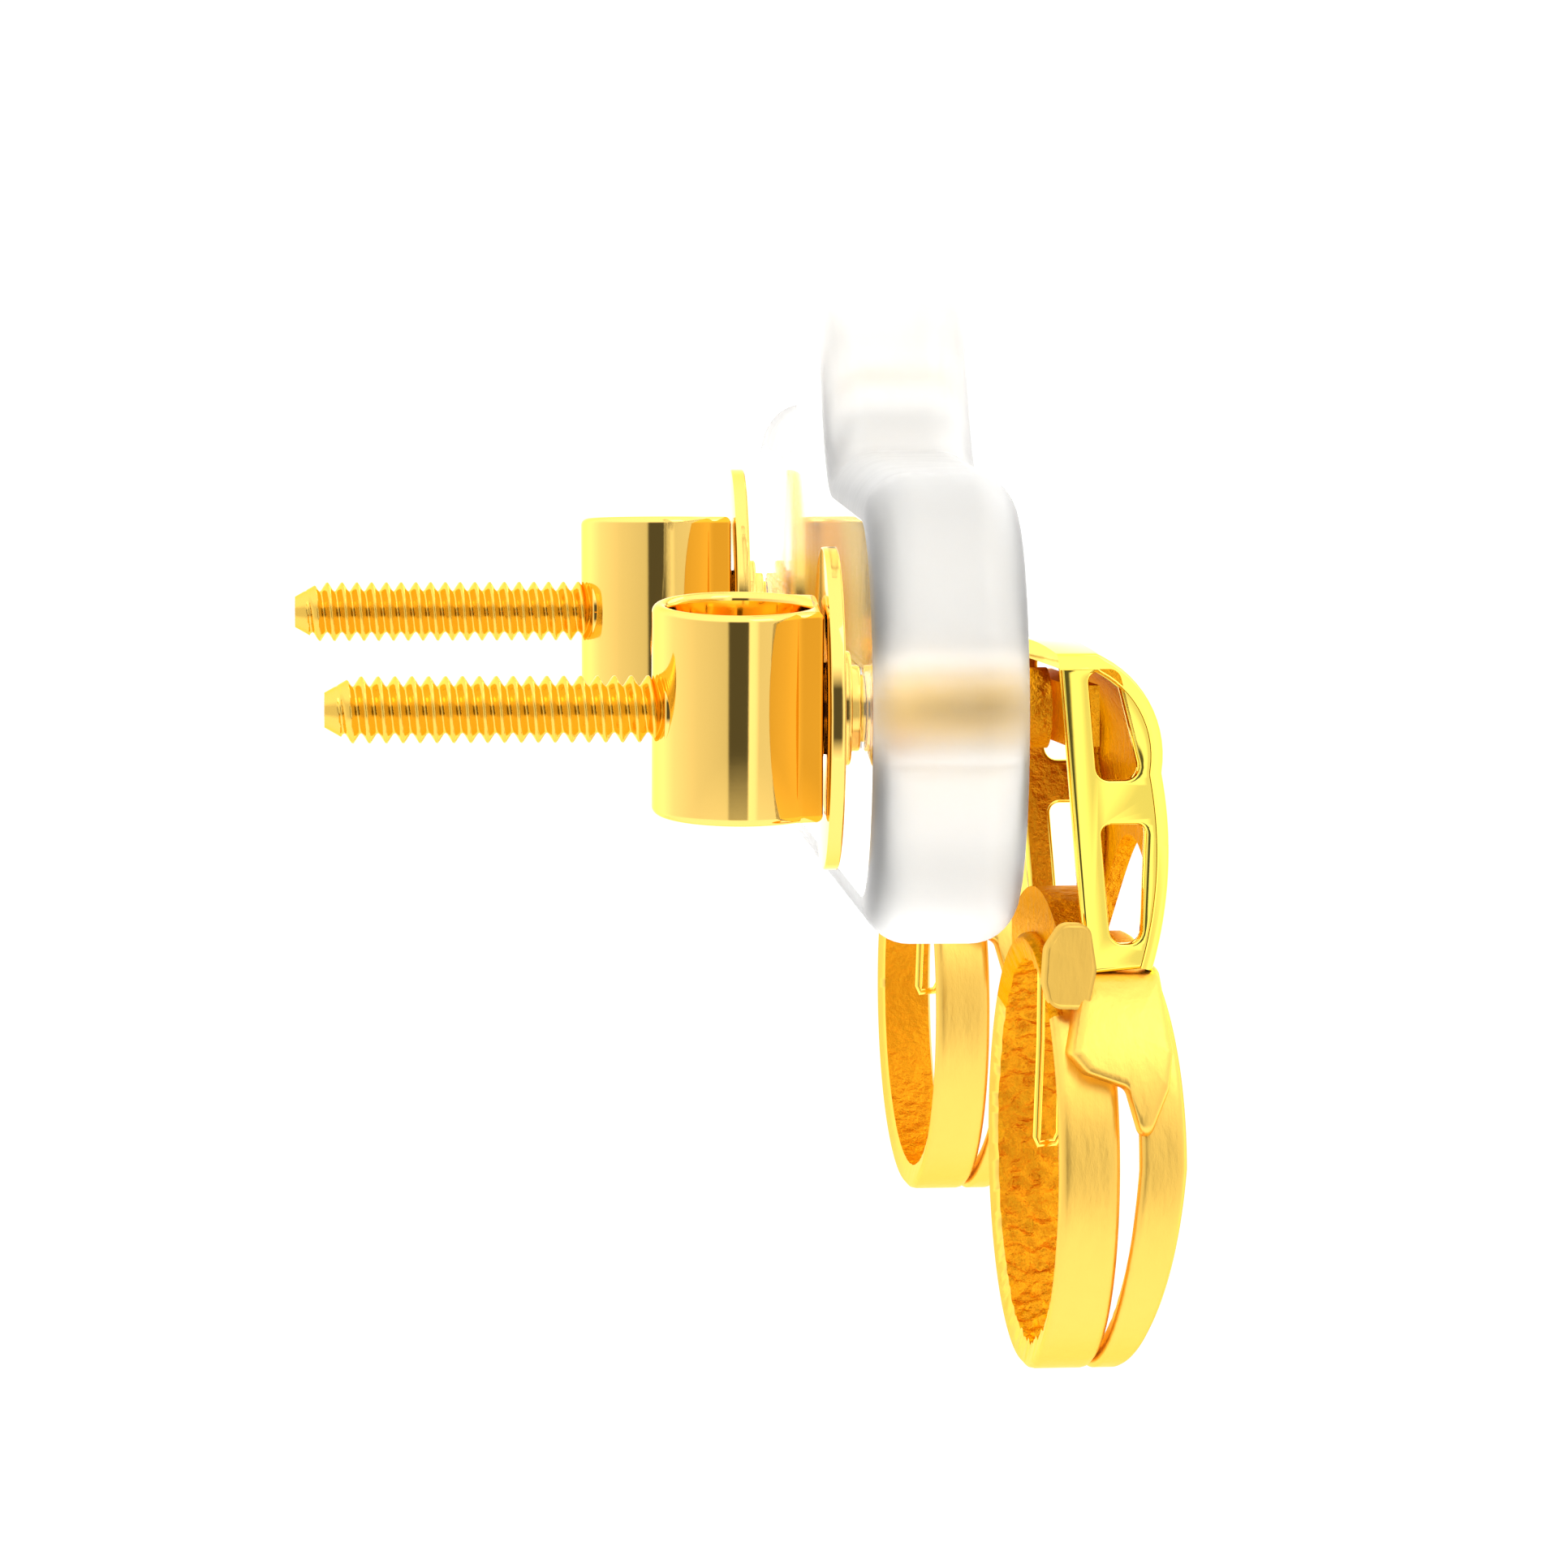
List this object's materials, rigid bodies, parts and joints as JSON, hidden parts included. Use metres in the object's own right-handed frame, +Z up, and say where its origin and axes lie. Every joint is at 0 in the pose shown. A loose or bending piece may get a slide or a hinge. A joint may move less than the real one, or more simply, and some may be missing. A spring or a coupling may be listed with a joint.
{
  "type": "pair of screw-back earrings on a display plate",
  "caption": "Two gold stud earrings with threaded posts, screw nuts and hoop drops, clamped through a clear acrylic hanging plate.",
  "frame": {"origin": "centre of the plate's hanging hole, midway through the plate's thickness", "axes": "+X along the posts, out through the ornaments; +Y along the bar from the near post to the far post; +Z up"},
  "size_m": [0.0126, 0.0331, 0.0408],
  "materials": {
    "clear_acrylic": "clear acrylic, softly polished edges",
    "polished_gold": "mirror-polished 22 carat gold",
    "satin_gold": "satin, brushed 22 carat gold",
    "cast_gold": "rough cast gold, unpolished",
    "thread_gold": "bright cut screw thread"
  },
  "bodies": {
    "display": {"display_plate": "clear_acrylic"},
    "near_earring": {"near_threaded_post": "thread_gold", "near_post_seat": "polished_gold", "near_gallery_crown": "polished_gold", "near_gallery_side_left": "polished_gold", "near_gallery_side_right": "polished_gold", "near_back_bridge": "cast_gold", "near_hoop_saddle": "cast_gold", "near_shoulder_left": "satin_gold", "near_shoulder_right": "satin_gold", "near_back_petal": "satin_gold", "near_main_hoop": "satin_gold", "near_front_hoop": "satin_gold", "near_inner_wire": "polished_gold"},
    "near_pad": {"near_nut_pad": "polished_gold"},
    "near_nut": {"near_nut_bush": "polished_gold", "near_nut_collar": "polished_gold", "near_nut_grip_tube": "polished_gold"},
    "far_earring": {"far_threaded_post": "thread_gold", "far_post_seat": "polished_gold", "far_gallery_crown": "polished_gold", "far_gallery_side_left": "polished_gold", "far_gallery_side_right": "polished_gold", "far_back_bridge": "cast_gold", "far_hoop_saddle": "cast_gold", "far_shoulder_left": "satin_gold", "far_shoulder_right": "satin_gold", "far_back_petal": "satin_gold", "far_main_hoop": "satin_gold", "far_front_hoop": "satin_gold", "far_inner_wire": "polished_gold"},
    "far_pad": {"far_nut_pad": "polished_gold"},
    "far_nut": {"far_nut_bush": "polished_gold", "far_nut_collar": "polished_gold", "far_nut_grip_tube": "polished_gold"}
  },
  "joints": [
    {"name": "near_earring_swing", "type": "hinge", "parent": "display", "child": "near_earring", "pos_m": [0, -0.013, -0.026], "axis": [1, 0, 0], "range_deg": [-10, 10]},
    {"name": "near_pad_travel", "type": "slide", "parent": "near_earring", "child": "near_pad", "axis": [-1, 0, 0], "range_m": [0, 0.008]},
    {"name": "near_nut_turn", "type": "hinge", "parent": "near_pad", "child": "near_nut", "pos_m": [-0.003, -0.013, -0.026], "axis": [-1, 0, 0], "range_deg": [0, 11520]},
    {"name": "far_earring_swing", "type": "hinge", "parent": "display", "child": "far_earring", "pos_m": [0, 0.013, -0.026], "axis": [1, 0, 0], "range_deg": [-10, 10]},
    {"name": "far_pad_travel", "type": "slide", "parent": "far_earring", "child": "far_pad", "axis": [-1, 0, 0], "range_m": [0, 0.008]},
    {"name": "far_nut_turn", "type": "hinge", "parent": "far_pad", "child": "far_nut", "pos_m": [-0.003, 0.013, -0.026], "axis": [-1, 0, 0], "range_deg": [0, 11520]}
  ],
  "couplings": [
    {"joint": "near_nut_turn", "follows": "near_pad_travel", "rad_per_m": 25133},
    {"joint": "far_nut_turn", "follows": "far_pad_travel", "rad_per_m": 25133}
  ]
}
